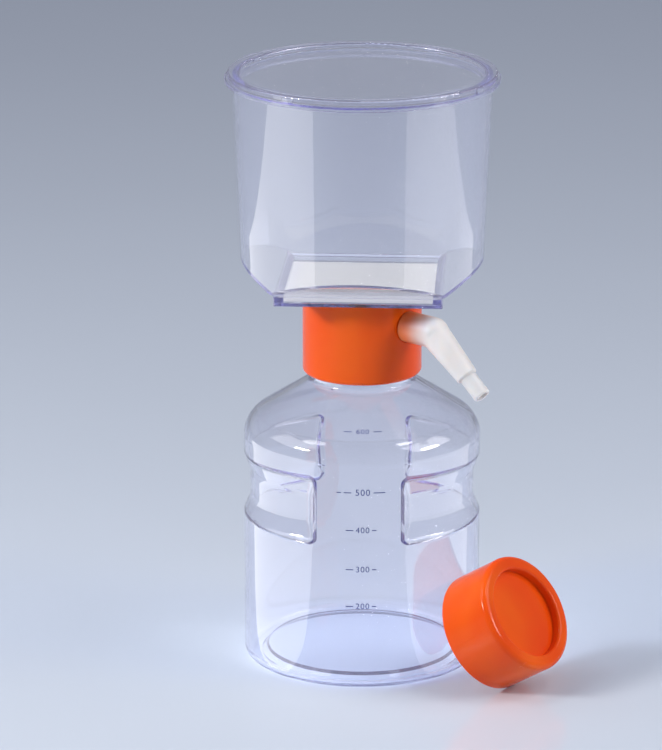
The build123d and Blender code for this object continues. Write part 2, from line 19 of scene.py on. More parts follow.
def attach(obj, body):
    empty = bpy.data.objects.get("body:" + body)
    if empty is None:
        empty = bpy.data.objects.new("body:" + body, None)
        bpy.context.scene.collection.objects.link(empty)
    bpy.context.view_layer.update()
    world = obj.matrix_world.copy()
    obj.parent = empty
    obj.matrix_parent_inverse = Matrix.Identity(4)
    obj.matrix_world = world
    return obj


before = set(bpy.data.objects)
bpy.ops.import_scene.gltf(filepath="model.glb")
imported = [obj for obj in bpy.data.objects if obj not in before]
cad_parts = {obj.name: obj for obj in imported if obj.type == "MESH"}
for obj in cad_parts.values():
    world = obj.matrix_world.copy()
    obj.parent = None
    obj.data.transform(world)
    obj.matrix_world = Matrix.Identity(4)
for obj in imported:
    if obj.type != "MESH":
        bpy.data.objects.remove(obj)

MM = 0.001
FULL_TURN = 2 * pi
SMOOTH_LIMIT = 35.0  # degrees past which an edge of a new piece stays sharp

Colour = tuple[float, float, float, float]
log = logging.getLogger("filtration_unit")


class Slot(Enum):
    """The record's material slots."""

    CLEAR = "clear_polystyrene"
    ORANGE = "orange_plastic"
    WHITE = "white_plastic"
    MEMBRANE = "membrane_film"
    GASKET = "gasket_rubber"


class Body(Enum):
    """The bodies that the unit moves as."""

    RECEIVER = "receiver"
    SEAL = "seal"
    FILTER_HEAD = "filter_head"
    CONNECTOR = "connector"


class Facing(Enum):
    """Which way a thread ridge stands from its wall."""

    OUTWARD = 1
    INWARD = -1


class Side(Enum):
    """Which side of the unit a card lies on, as its camera sees it."""

    LEFT = -1
    RIGHT = 1


class LampFace(Enum):
    """The outline of a soft lamp's glowing face."""

    BOX = "RECTANGLE"
    OVAL = "ELLIPSE"


# ---------------------------------------------------------------- shader helpers
class NodeSheet:
    """A node tree being wired, with short ways to add nodes and join them."""

    def __init__(self, tree: bpy.types.NodeTree) -> None:
        """Keep the tree that nodes are added to."""
        self.tree = tree

    def add(self, kind: str, **settings: object) -> bpy.types.Node:
        """Add a node and set its properties.

        Args:
            kind: The node's type name, without its ShaderNode prefix.
            settings: Properties of the node, such as its operation.

        Returns:
            The new node.
        """
        node = self.tree.nodes.new(f"ShaderNode{kind}")
        for name, value in settings.items():
            setattr(node, name, value)
        return node

    def feed(self, node: bpy.types.Node, **inputs: object) -> bpy.types.Node:
        """Set or link a node's inputs by name, with spaces written as underscores.

        Args:
            node: The node to feed.
            inputs: A value for each named input, or the output socket that feeds it.

        Returns:
            The same node.
        """
        for name, value in inputs.items():
            socket = node.inputs[name.replace("_", " ")]
            if isinstance(value, bpy.types.NodeSocket):
                self.tree.links.new(value, socket)
            else:
                socket.default_value = value
        return node

    def math(self, operation: str, first: object, second: object) -> bpy.types.NodeSocket:
        """Combine two values with a Math node.

        Args:
            operation: The Math node's operation.
            first: A number or an output socket.
            second: A number or an output socket.

        Returns:
            The node's output.
        """
        node = self.add("Math", operation=operation)
        for socket, value in zip(node.inputs, (first, second)):
            if isinstance(value, bpy.types.NodeSocket):
                self.tree.links.new(value, socket)
            else:
                socket.default_value = value
        return node.outputs[0]

    def ramp(
        self, value: bpy.types.NodeSocket, stops: dict[float, Colour]
    ) -> bpy.types.NodeSocket:
        """Turn a value into a colour.

        Args:
            value: The value that picks the colour.
            stops: The colours by their places on the ramp, in rising order.

        Returns:
            The ramp's colour output.
        """
        node = self.add("ValToRGB")
        places = list(stops.items())
        elements = node.color_ramp.elements
        while len(elements) < len(places):
            elements.new(0.5)
        for element, (place, colour) in zip(elements, places):
            element.position = place
            element.color = colour
        self.tree.links.new(value, node.inputs["Fac"])
        return node.outputs["Color"]

    def blend(
        self, share: bpy.types.NodeSocket, low: Colour, high: bpy.types.NodeSocket
    ) -> bpy.types.NodeSocket:
        """Blend a plain colour into a varying one.

        Args:
            share: The varying colour's share, from 0 to 1.
            low: The plain colour.
            high: The varying colour.

        Returns:
            The blended colour.
        """
        node = self.add("MixRGB")
        self.feed(node, Fac=share, Color1=low, Color2=high)
        return node.outputs[0]

    def spread(self, value: bpy.types.NodeSocket, low: float, high: float) -> bpy.types.NodeSocket:
        """Map a value from 0 to 1 onto low to high, clamped.

        Args:
            value: The value to map.
            low: The result at 0.
            high: The result at 1.

        Returns:
            The mapped value.
        """
        node = self.add("MapRange")
        self.feed(node, Value=value, To_Min=low, To_Max=high)
        return node.outputs["Result"]


GroupWiring = Callable[[NodeSheet, bpy.types.Node, bpy.types.Node], None]


class EffectGroups:
    """The shader node groups that several finishes share, each built once."""

    HANDLING_EDGE = 4.0  # how quickly a handled patch fades in

    def __init__(self) -> None:
        """Build every group."""
        self.mould_flow = self._group(
            "mould_flow", {"Size": 30.0, "Stretch": 0.5}, self._wire_mould_flow
        )
        self.grain = self._group("fine_grain", {"Size": 900.0}, self._wire_grain)
        self.handling = self._group(
            "handling_marks", {"Size": 60.0, "Cover": 0.5}, self._wire_handling
        )

    @staticmethod
    def _group(name: str, inputs: dict[str, float], wire: GroupWiring) -> bpy.types.NodeTree:
        """Make a group with number inputs and one Value output.

        Args:
            name: The group's name.
            inputs: Each input's name and default.
            wire: The function that adds the nodes between input and output.

        Returns:
            The finished group.
        """
        tree = bpy.data.node_groups.new(name, "ShaderNodeTree")
        for label, default in inputs.items():
            socket = tree.interface.new_socket(
                name=label, in_out="INPUT", socket_type="NodeSocketFloat"
            )
            socket.default_value = default
        tree.interface.new_socket(name="Value", in_out="OUTPUT", socket_type="NodeSocketFloat")
        entry = tree.nodes.new("NodeGroupInput")
        result = tree.nodes.new("NodeGroupOutput")
        wire(NodeSheet(tree), entry, result)
        return tree

    @staticmethod
    def _wire_mould_flow(
        sheet: NodeSheet, entry: bpy.types.Node, result: bpy.types.Node
    ) -> None:
        """Wire the slow waves that a moulded wall keeps, drawn out along Z.

        Args:
            sheet: The group's node sheet.
            entry: The group's input node.
            result: The group's output node.
        """
        place = sheet.add("TexCoord").outputs["Object"]
        split = sheet.feed(sheet.add("SeparateXYZ"), Vector=place)
        drawn = sheet.math("MULTIPLY", split.outputs["Z"], entry.outputs["Stretch"])
        joined = sheet.feed(
            sheet.add("CombineXYZ"), X=split.outputs["X"], Y=split.outputs["Y"], Z=drawn
        )
        noise = sheet.feed(
            sheet.add("TexNoise"),
            Vector=joined.outputs[0],
            Scale=entry.outputs["Size"],
            Detail=1.0,
            Roughness=0.4,
        )
        sheet.feed(result, Value=noise.outputs["Fac"])

    @staticmethod
    def _wire_grain(sheet: NodeSheet, entry: bpy.types.Node, result: bpy.types.Node) -> None:
        """Wire a fine even grain, as a tool's surface leaves on plastic.

        Args:
            sheet: The group's node sheet.
            entry: The group's input node.
            result: The group's output node.
        """
        place = sheet.add("TexCoord").outputs["Object"]
        noise = sheet.feed(
            sheet.add("TexNoise"),
            Vector=place,
            Scale=entry.outputs["Size"],
            Detail=3.0,
            Roughness=0.6,
        )
        sheet.feed(result, Value=noise.outputs["Fac"])

    @staticmethod
    def _wire_handling(sheet: NodeSheet, entry: bpy.types.Node, result: bpy.types.Node) -> None:
        """Wire the soft patches that handling leaves, as a mask from 0 to 1.

        Args:
            sheet: The group's node sheet.
            entry: The group's input node.
            result: The group's output node.
        """
        place = sheet.add("TexCoord").outputs["Object"]
        noise = sheet.feed(
            sheet.add("TexNoise"),
            Vector=place,
            Scale=entry.outputs["Size"],
            Detail=5.0,
            Roughness=0.65,
            Distortion=0.6,
        )
        raised = sheet.math("SUBTRACT", noise.outputs["Fac"], entry.outputs["Cover"])
        mask = sheet.add("Math", operation="MULTIPLY", use_clamp=True)
        sheet.tree.links.new(raised, mask.inputs[0])
        mask.inputs[1].default_value = EffectGroups.HANDLING_EDGE
        sheet.feed(result, Value=mask.outputs[0])


EFFECTS = EffectGroups()


def effect(
    sheet: NodeSheet, group: bpy.types.NodeTree, **values: float
) -> bpy.types.NodeSocket:
    """Place a shared effect in a material.

    Args:
        sheet: The material's node sheet.
        group: The effect's node group.
        values: The group's inputs by name.

    Returns:
        The effect's value.
    """
    node = sheet.add("Group")
    node.node_tree = group
    sheet.feed(node, **values)
    return node.outputs["Value"]


def new_material(
    name: str,
) -> tuple[bpy.types.Material, NodeSheet, bpy.types.Node, bpy.types.Node]:
    """Make a material with a bare Principled shader.

    Args:
        name: The material's name.

    Returns:
        The material, its node sheet, its Principled node and its output node.
    """
    material = bpy.data.materials.new(name)
    material.use_nodes = True
    material.node_tree.nodes.clear()
    sheet = NodeSheet(material.node_tree)
    shader = sheet.add("BsdfPrincipled")
    output = sheet.feed(sheet.add("OutputMaterial"), Surface=shader.outputs[0])
    return material, sheet, shader, output


def bump(sheet: NodeSheet, height: bpy.types.NodeSocket, depth: float) -> bpy.types.NodeSocket:
    """Turn a height from 0 to 1 into a bumped normal.

    Args:
        sheet: The material's node sheet.
        height: The height value.
        depth: The height's real depth in metres.

    Returns:
        The bumped normal.
    """
    node = sheet.feed(sheet.add("Bump"), Height=height, Strength=1.0, Distance=depth)
    return node.outputs["Normal"]


# ---------------------------------------------------------------- finishes
@dataclass(frozen=True)
class ClearPlastic:
    """Crystal polystyrene: hard, glossy and clear, with colour only in its depth."""

    name: str = "clear_plastic"
    tint: Colour = (0.972, 0.976, 1.0, 1.0)
    haze_tint: Colour = (0.935, 0.945, 0.985, 1.0)
    index: float = 1.59
    clearness: float = 0.983
    gloss_roughness: float = 0.006
    handled_roughness: float = 0.05
    marks_size: float = 34.0
    marks_cover: float = 0.52
    wave_depth: float = 0.00006
    wave_size: float = 24.0
    wave_stretch: float = 0.35
    depth_colour: Colour = (0.34, 0.26, 0.96, 1.0)
    depth_density: float = 17.0
    lamp_pass: Colour = (0.93, 0.955, 0.985, 1.0)

    def material(self) -> bpy.types.Material:
        """Build the material, which lamps' shadow rays pass straight through, tinted.

        Returns:
            The finish, ready for its pieces.
        """
        material, sheet, shader, output = new_material(self.name)
        marks = effect(
            sheet, EFFECTS.handling, Size=self.marks_size, Cover=self.marks_cover
        )
        flow = effect(
            sheet, EFFECTS.mould_flow, Size=self.wave_size, Stretch=self.wave_stretch
        )
        sheet.feed(
            shader,
            Base_Color=sheet.ramp(marks, {0.0: self.tint, 1.0: self.haze_tint}),
            Roughness=sheet.spread(marks, self.gloss_roughness, self.handled_roughness),
            IOR=self.index,
            Transmission_Weight=self.clearness,
            Normal=bump(sheet, flow, self.wave_depth),
        )
        lamps = sheet.feed(sheet.add("BsdfTransparent"), Color=self.lamp_pass)
        mix = sheet.add("MixShader")
        sheet.tree.links.new(sheet.add("LightPath").outputs["Is Shadow Ray"], mix.inputs[0])
        sheet.tree.links.new(shader.outputs[0], mix.inputs[1])
        sheet.tree.links.new(lamps.outputs[0], mix.inputs[2])
        depth = sheet.add("VolumeAbsorption")
        sheet.feed(depth, Color=self.depth_colour, Density=self.depth_density)
        sheet.feed(output, Surface=mix.outputs[0], Volume=depth.outputs[0])
        return material


@dataclass(frozen=True)
class OrangePlastic:
    """Glossy orange polyethylene that lets a little light in."""

    name: str = "orange_moulding"
    deep: Colour = (0.84, 0.072, 0.004, 1.0)
    bright: Colour = (0.93, 0.122, 0.006, 1.0)
    index: float = 1.51
    gloss: float = 0.22
    roughness: float = 0.14
    handled_roughness: float = 0.30
    grain_depth: float = 0.00002
    flow_share: float = 0.8
    scatter: float = 0.22
    scatter_radius: tuple[float, float, float] = (1.0, 0.28, 0.08)
    scatter_scale: float = 0.0035

    def material(self) -> bpy.types.Material:
        """Build the material.

        Returns:
            The finish, ready for its pieces.
        """
        material, sheet, shader, _ = new_material(self.name)
        marks = effect(sheet, EFFECTS.handling, Size=70.0, Cover=0.5)
        flow = effect(sheet, EFFECTS.mould_flow, Size=60.0, Stretch=0.25)
        grain = effect(sheet, EFFECTS.grain, Size=1400.0)
        height = sheet.math(
            "ADD",
            sheet.math("MULTIPLY", flow, self.flow_share),
            sheet.math("MULTIPLY", grain, 1 - self.flow_share),
        )
        sheet.feed(
            shader,
            Base_Color=sheet.ramp(flow, {0.3: self.deep, 0.7: self.bright}),
            Roughness=sheet.spread(marks, self.roughness, self.handled_roughness),
            IOR=self.index,
            Specular_IOR_Level=self.gloss,
            Subsurface_Weight=self.scatter,
            Subsurface_Radius=self.scatter_radius,
            Subsurface_Scale=self.scatter_scale,
            Normal=bump(sheet, height, self.grain_depth),
        )
        return material


@dataclass(frozen=True)
class MilkyPlastic:
    """Natural polyethylene: white and soft, with a painted orange glow near its root that stands in
    for light coming through the orange nipple.
    """

    name: str = "milky_moulding"
    thin: Colour = (0.82, 0.785, 0.755, 1.0)
    thick: Colour = (0.75, 0.715, 0.69, 1.0)
    roughness: float = 0.30
    handled_roughness: float = 0.45
    index: float = 1.5
    grain_depth: float = 0.00003
    scatter: float = 0.8
    scatter_radius: tuple[float, float, float] = (1.0, 0.8, 0.65)
    scatter_scale: float = 0.005
    # painted glow: the orange that light through the nipple throws into the white plastic, painted
    # into its colour
    painted_nipple_glow: Colour = (0.90, 0.21, 0.07, 1.0)
    nipple_root: float = 0.0255
    nipple_end: float = 0.0390

    def material(self) -> bpy.types.Material:
        """Build the material.

        Returns:
            The finish, ready for its pieces.
        """
        material, sheet, shader, _ = new_material(self.name)
        marks = effect(sheet, EFFECTS.handling, Size=90.0, Cover=0.48)
        grain = effect(sheet, EFFECTS.grain, Size=700.0)
        flow = effect(sheet, EFFECTS.mould_flow, Size=110.0, Stretch=0.6)
        plain = sheet.ramp(flow, {0.3: self.thick, 0.7: self.thin})
        sheet.feed(
            shader,
            # painted light: near the root the base colour blends into a painted orange glow for
            # light coming through the nipple
            Base_Color=sheet.blend(self._plain_share_past_glow(sheet), self.painted_nipple_glow, plain),
            Roughness=sheet.spread(marks, self.roughness, self.handled_roughness),
            IOR=self.index,
            Subsurface_Weight=self.scatter,
            Subsurface_Radius=self.scatter_radius,
            Subsurface_Scale=self.scatter_scale,
            Normal=bump(sheet, grain, self.grain_depth),
        )
        return material

    def _plain_share_past_glow(self, sheet: NodeSheet) -> bpy.types.NodeSocket:
        """Find how far a point is from the painted orange glow, by its distance from the collar's
        axis.

        Args:
            sheet: The material's node sheet.

        Returns:
            The plain plastic's share against the painted glow, from 0 at the nipple's root to 1
            past its end.
        """
        place = sheet.add("TexCoord").outputs["Object"]
        split = sheet.feed(sheet.add("SeparateXYZ"), Vector=place)
        level = sheet.feed(
            sheet.add("CombineXYZ"), X=split.outputs["X"], Y=split.outputs["Y"]
        )
        reach = sheet.add("VectorMath", operation="LENGTH")
        sheet.feed(reach, Vector=level.outputs[0])
        share = sheet.add("MapRange", interpolation_type="SMOOTHSTEP")
        sheet.feed(
            share,
            Value=reach.outputs["Value"],
            From_Min=self.nipple_root,
            From_Max=self.nipple_end,
        )
        return share.outputs["Result"]


@dataclass(frozen=True)
class FilterMembrane:
    """A white cast membrane: matt, with fine pores and a faint crossed backing."""

    name: str = "filter_membrane"
    face: Colour = (0.45, 0.445, 0.415, 1.0)
    pores: Colour = (0.38, 0.375, 0.355, 1.0)
    pore_size: float = 3200.0
    pore_share: float = 0.4
    backing_size: float = 1100.0
    backing_share: float = 0.3
    grain_share: float = 0.5
    roughness: float = 0.7
    worn_roughness: float = 0.9
    depth: float = 0.00006

    def material(self) -> bpy.types.Material:
        """Build the material.

        Returns:
            The finish, ready for its pieces.
        """
        material, sheet, shader, _ = new_material(self.name)
        place = sheet.add("TexCoord").outputs["Object"]
        pores = sheet.feed(sheet.add("TexVoronoi"), Vector=place, Scale=self.pore_size)
        lines = []
        for direction in ("X", "Y"):
            wave = sheet.add("TexWave", bands_direction=direction)
            sheet.feed(wave, Vector=place, Scale=self.backing_size, Distortion=0.4)
            lines.append(wave.outputs["Fac"])
        backing = sheet.math("MULTIPLY", lines[0], lines[1])
        grain = effect(sheet, EFFECTS.grain, Size=120.0)
        texture = sheet.math(
            "ADD",
            sheet.math("MULTIPLY", pores.outputs["Distance"], self.pore_share),
            sheet.math("MULTIPLY", backing, self.backing_share),
        )
        shade = sheet.math("ADD", texture, sheet.math("MULTIPLY", grain, self.grain_share))
        sheet.feed(
            shader,
            Base_Color=sheet.ramp(shade, {0.15: self.pores, 0.55: self.face}),
            Roughness=sheet.spread(grain, self.roughness, self.worn_roughness),
            Normal=bump(sheet, texture, self.depth),
        )
        return material


@dataclass(frozen=True)
class GasketRubber:
    """Soft grey silicone."""

    name: str = "gasket_silicone"
    face: Colour = (0.62, 0.63, 0.64, 1.0)
    dust: Colour = (0.72, 0.72, 0.71, 1.0)
    roughness: float = 0.55
    dusty_roughness: float = 0.8
    grain_depth: float = 0.00002

    def material(self) -> bpy.types.Material:
        """Build the material.

        Returns:
            The finish, ready for its pieces.
        """
        material, sheet, shader, _ = new_material(self.name)
        marks = effect(sheet, EFFECTS.handling, Size=260.0, Cover=0.45)
        grain = effect(sheet, EFFECTS.grain, Size=2400.0)
        sheet.feed(
            shader,
            Base_Color=sheet.ramp(marks, {0.0: self.face, 1.0: self.dust}),
            Roughness=sheet.spread(marks, self.roughness, self.dusty_roughness),
            Normal=bump(sheet, grain, self.grain_depth),
        )
        return material


@dataclass(frozen=True)
class ScaleInk:
    """The dark blue ink of the graduations, a little broken by its printing."""

    name: str = "scale_ink"
    solid: Colour = (0.035, 0.05, 0.20, 1.0)
    worn: Colour = (0.09, 0.13, 0.36, 1.0)
    roughness: float = 0.35
    worn_roughness: float = 0.6
    grain_depth: float = 0.00001

    def material(self) -> bpy.types.Material:
        """Build the material.

        Returns:
            The finish, ready for its pieces.
        """
        material, sheet, shader, _ = new_material(self.name)
        grain = effect(sheet, EFFECTS.grain, Size=2600.0)
        sheet.feed(
            shader,
            Base_Color=sheet.ramp(grain, {0.45: self.solid, 0.7: self.worn}),
            Roughness=sheet.spread(grain, self.roughness, self.worn_roughness),
            Normal=bump(sheet, grain, self.grain_depth),
        )
        return material


class Finishes:
    """Every finish of the unit, made once and shared by its pieces."""

    def __init__(self) -> None:
        """Build the materials."""
        self.clear = ClearPlastic().material()
        self.orange = OrangePlastic().material()
        self.milky = MilkyPlastic().material()
        self.membrane = FilterMembrane().material()
        self.gasket = GasketRubber().material()
        self.ink = ScaleInk().material()


# ---------------------------------------------------------------- shared making
def dress_node(node: str, material: bpy.types.Material) -> None:
    """Give a frame node its finish.

    Args:
        node: The node's name.
        material: The finish.
    """
    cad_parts[node].material_slots[0].material = material
    log.info("%s dressed as %s", node, material.name)


def finish_piece(
    shape: bmesh.types.BMesh, name: str, material: bpy.types.Material, body: Body
) -> bpy.types.Object:
    """Turn a finished bmesh into a piece that rides on a body.

    Args:
        shape: The piece's shape, in the frame's axes; it is freed here.
        name: The piece's name.
        material: Its finish.
        body: The body it rides on.

    Returns:
        The piece.
    """
    mesh = bpy.data.meshes.new(name)
    shape.to_mesh(mesh)
    shape.free()
    mesh.shade_smooth()
    mesh.set_sharp_from_angle(angle=radians(SMOOTH_LIMIT))
    mesh.materials.append(material)
    piece = bpy.data.objects.new(name, mesh)
    bpy.context.scene.collection.objects.link(piece)
    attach(piece, body.value)
    log.info("%s: %d faces on %s", name, len(mesh.polygons), body.value)
    return piece


@dataclass
class ThreadRidge:
    """One helical thread ridge on a round wall, in millimetres, about its own Z axis."""

    wall_radius: float
    facing: Facing
    start_height: float
    turns: float
    pitch: float = 4.0
    ridge_height: float = 0.95
    root_width: float = 1.9
    crest_width: float = 0.9
    sink: float = 0.03
    crest_round: float = 0.22
    crest_segments: int = 2
    crest_reach: float = 0.2
    crest_share: float = 0.9
    least_edge: float = 0.5
    steps_per_turn: int = 96
    fade_turns: float = 0.12
    least_share: float = 0.08
    start_angle: float = 0.0

    def build(self) -> bmesh.types.BMesh:
        """Spin the ridge's section up its helix, round its crest and run its ends out.

        Returns:
            The closed ridge.
        """
        outward = self.facing.value
        root = self.wall_radius - outward * self.sink
        crest = self.wall_radius + outward * self.ridge_height
        section = (
            (root, -self.root_width / 2),
            (crest, -self.crest_width / 2),
            (crest, self.crest_width / 2),
            (root, self.root_width / 2),
        )
        shape = bmesh.new()
        corners = [shape.verts.new((x * MM, 0, (self.start_height + z) * MM)) for x, z in section]
        sides = [shape.edges.new((a, b)) for a, b in zip(corners, corners[1:] + corners[:1])]
        steps = int(self.turns * self.steps_per_turn)
        rise = Vector((0, 0, self.pitch * self.turns / steps * MM))
        turned = Matrix.Rotation(self.start_angle, 3, "Z")
        bmesh.ops.rotate(shape, verts=shape.verts, cent=(0, 0, 0), matrix=turned)
        bmesh.ops.spin(
            shape,
            geom=corners + sides,
            axis=(0, 0, 1),
            cent=(0, 0, 0),
            dvec=rise,
            angle=self.turns * FULL_TURN,
            steps=steps,
        )
        bmesh.ops.holes_fill(shape, edges=[e for e in shape.edges if e.is_boundary], sides=4)
        bmesh.ops.recalc_face_normals(shape, faces=shape.faces)
        self._run_ends_out(shape, crest)
        crests = [e for e in shape.edges if self._along_crest(e, crest)]
        bmesh.ops.bevel(
            shape,
            geom=crests,
            offset=self.crest_round * MM,
            segments=self.crest_segments,
            profile=0.5,
            affect="EDGES",
            material=-1,
            clamp_overlap=True,
        )
        return shape

    def _turn_of(self, vert: bmesh.types.BMVert) -> float:
        """Count the turns from the ridge's start to a vertex.

        Args:
            vert: The vertex.

        Returns:
            The number of turns: its height tells the whole turns, and its bearing the rest.
        """
        by_height = (vert.co.z / MM - self.start_height) / self.pitch
        by_angle = (atan2(vert.co.y, vert.co.x) - self.start_angle) / FULL_TURN
        return by_angle + round(by_height - by_angle)

    def _run_ends_out(self, shape: bmesh.types.BMesh, crest: float) -> None:
        """Sink the crest into the wall over the first and last part of the ridge.

        Args:
            shape: The ridge.
            crest: The crest's radius in millimetres.
        """
        for vert in shape.verts:
            radius = Vector(vert.co.xy).length
            if abs(radius - crest * MM) > self.crest_reach * MM:
                continue
            turn = self._turn_of(vert)
            share = min(1.0, min(turn, self.turns - turn) / self.fade_turns)
            share = max(self.least_share, share * (2 - share))
            target = self.wall_radius + self.facing.value * self.ridge_height * share
            vert.co.xy = vert.co.xy * (target * MM / radius)

    def _along_crest(self, edge: bmesh.types.BMEdge, crest: float) -> bool:
        """Tell whether an edge follows the helix on the crest, run-out included.

        Args:
            edge: The edge.
            crest: The crest's radius in millimetres.

        Returns:
            True for an edge along the crest.
        """
        drops = [abs(Vector(v.co.xy).length - crest * MM) for v in edge.verts]
        around = (edge.verts[0].co.xy - edge.verts[1].co.xy).length
        off_wall = max(drops) < self.crest_share * self.ridge_height * MM
        return off_wall and around > self.least_edge * MM and len(edge.link_faces) == 2


@dataclass
class ScaleRow:
    """One printed graduation: its height up the bottle, its label and its ticks, in millimetres."""

    height: float
    label: str
    text_height: float = 2.5
    ticks: tuple[tuple[float, float], ...] = ((-6.6, -3.6), (3.6, 5.4))


@dataclass
class WallScale:
    """The graduations printed on the bottle's front wall, in millimetres.

    The ink is the outer half of a thin film, so that it stays clear of the wall's facets.
    """

    rows: tuple[ScaleRow, ...] = (
        ScaleRow(34.3, "200"),
        ScaleRow(49.4, "300"),
        ScaleRow(65.4, "400"),
        ScaleRow(80.7, "500", 2.7, ((-10.2, -8.4), (-7.4, -4.4), (4.2, 8.8))),
        ScaleRow(102.6, "600", 2.4, ((-7.4, -4.2), (4.2, 7.4))),
    )
    body_radius: float = 46.6
    shoulder_angle: float = 33.0
    shoulder_start: float = 96.9
    bearing: float = -90.0
    stroke: float = 0.36
    film: float = 0.05
    ink_level: float = 0.75
    tick_cuts: int = 8
    type_scale: float = 1.35
    letter_space: float = 1.12
    curve_steps: int = 4
    weld_distance: float = 0.0001

    def wall_point(self, across: float, row_height: float, up: float, out: float) -> Vector:
        """A point on the wall's face.

        Args:
            across: Distance round the wall from the scale's middle.
            row_height: The row's height on the bottle.
            up: Distance up the wall's face from the row.
            out: Distance out from the wall.

        Returns:
            The point in metres.
        """
        slope = radians(self.shoulder_angle)
        if row_height < self.shoulder_start:
            radius, height = self.body_radius + out, row_height + up
        else:
            fall = (row_height - self.shoulder_start) / tan(slope)
            radius = self.body_radius - fall - up * cos(slope) + out * sin(slope)
            height = row_height + up * sin(slope) + out * cos(slope)
        angle = radians(self.bearing) + across / radius
        return Vector((radius * cos(angle), radius * sin(angle), height)) * MM

    def build(self) -> bmesh.types.BMesh:
        """Print every row's ticks and numerals as a thin film.

        Returns:
            The whole scale.
        """
        shape = bmesh.new()
        for row in self.rows:
            flat = bpy.data.meshes.new("scale_row")
            print_row = self._flat_row(row)
            for vert in print_row.verts:
                vert.co = self.wall_point(vert.co.x, row.height, vert.co.y, vert.co.z)
            print_row.to_mesh(flat)
            print_row.free()
            shape.from_mesh(flat)
            bpy.data.meshes.remove(flat)
        bmesh.ops.recalc_face_normals(shape, faces=shape.faces)
        return shape

    def _flat_row(self, row: ScaleRow) -> bmesh.types.BMesh:
        """Draw one row flat, in millimetres: X across, Y up and Z out from the wall.

        Args:
            row: The row.

        Returns:
            The row's dashes and number.
        """
        shape = bmesh.new()
        label = self._label_mesh(row)
        shape.from_mesh(label)
        bpy.data.meshes.remove(label)
        level = self.film * self.ink_level
        bmesh.ops.translate(shape, verts=shape.verts, vec=(0, 0, level))
        bmesh.ops.remove_doubles(shape, verts=shape.verts, dist=self.weld_distance)
        for left, right in row.ticks:
            made = bmesh.ops.create_cube(shape, size=1.0)["verts"]
            place = Matrix.Translation(((left + right) / 2, 0, level))
            size = Matrix.Diagonal((right - left, self.stroke, self.film / 2, 1))
            bmesh.ops.transform(shape, matrix=place @ size, verts=made)
            along = {
                edge
                for vert in made
                for edge in vert.link_edges
                if abs(edge.verts[0].co.x - edge.verts[1].co.x) > self.film
            }
            bmesh.ops.subdivide_edges(shape, edges=list(along), cuts=self.tick_cuts)
        return shape

    def _label_mesh(self, row: ScaleRow) -> bpy.types.Mesh:
        """Set the row's number in type, as a flat mesh centred on the origin.

        Args:
            row: The row.

        Returns:
            The number's mesh, in millimetres.
        """
        words = bpy.data.curves.new("scale_label", "FONT")
        words.body = row.label
        words.align_x = "CENTER"
        words.align_y = "CENTER"
        words.size = row.text_height * self.type_scale
        words.space_character = self.letter_space
        words.extrude = self.film / 4
        words.resolution_u = self.curve_steps
        holder = bpy.data.objects.new("scale_label", words)
        bpy.context.scene.collection.objects.link(holder)
        bpy.context.view_layer.update()
        evaluated = holder.evaluated_get(bpy.context.evaluated_depsgraph_get())
        flat = bpy.data.meshes.new_from_object(evaluated)
        bpy.data.objects.remove(holder)
        bpy.data.curves.remove(words)
        return flat


# ---------------------------------------------------------------- sub-assemblies
@dataclass
class Receiver:
    """The bottle with its scale and neck thread, and its loose cap."""

    finishes: Finishes
    neck_thread: ThreadRidge = field(
        default_factory=lambda: ThreadRidge(
            wall_radius=20.3, facing=Facing.OUTWARD, start_height=121.0, turns=2.1
        )
    )
    cap_thread: ThreadRidge = field(
        default_factory=lambda: ThreadRidge(
            wall_radius=21.6, facing=Facing.INWARD, start_height=3.6, turns=1.9
        )
    )
    scale: WallScale = field(default_factory=WallScale)
    cap_bearing: float = -36.0
    cap_tilt: float = 32.3
    cap_mouth: tuple[float, float, float] = (47.918, -34.815, 19.636)

    def dress(self) -> None:
        """Dress the bottle and the cap and add their fine pieces."""
        clear, orange, ink = self.finishes.clear, self.finishes.orange, self.finishes.ink
        dress_node("bottle", clear)
        dress_node("cap", orange)
        ridge = self.neck_thread.build()
        finish_piece(ridge, "neck_thread", clear, Body.RECEIVER)
        ridge = self.cap_thread.build()
        bmesh.ops.transform(ridge, matrix=self.cap_axes(), verts=ridge.verts)
        finish_piece(ridge, "cap_thread", orange, Body.RECEIVER)
        finish_piece(self.scale.build(), "volume_scale", ink, Body.RECEIVER)

    def cap_axes(self) -> Matrix:
        """Work out the axes of the cap as it leans on the bottle.

        Returns:
            The cap's place: its mouth's centre, with Z from the mouth to the top.
        """
        bearing, tilt = radians(self.cap_bearing), radians(self.cap_tilt)
        outward = Vector((cos(bearing), sin(bearing), 0))
        along = outward * cos(tilt) + Vector((0, 0, 1)) * sin(tilt)
        across = Vector((0, 0, 1)).cross(outward)
        rotation = Matrix((across.cross(along), across, along)).transposed()
        return Matrix.Translation(Vector(self.cap_mouth) * MM) @ rotation.to_4x4()


@dataclass
class FilterHead:
    """The collar with its thread, the support plate, the membrane, the funnel and the lid."""

    finishes: Finishes
    collar_thread: ThreadRidge = field(
        default_factory=lambda: ThreadRidge(
            wall_radius=21.6, facing=Facing.INWARD, start_height=119.65, turns=2.4
        )
    )

    def dress(self) -> None:
        """Dress the head's nodes and add the collar's thread."""
        for node in ("support_plate", "funnel", "lid"):
            dress_node(node, self.finishes.clear)
        dress_node("collar", self.finishes.orange)
        dress_node("membrane", self.finishes.membrane)
        ridge = self.collar_thread.build()
        orange = self.finishes.orange
        finish_piece(ridge, "collar_thread", orange, Body.FILTER_HEAD)


@dataclass
class Fittings:
    """The gasket on the neck and the hose connector on the collar's port."""

    finishes: Finishes

    def dress(self) -> None:
        """Dress both nodes."""
        dress_node("neck_gasket", self.finishes.gasket)
        dress_node("hose_connector", self.finishes.milky)


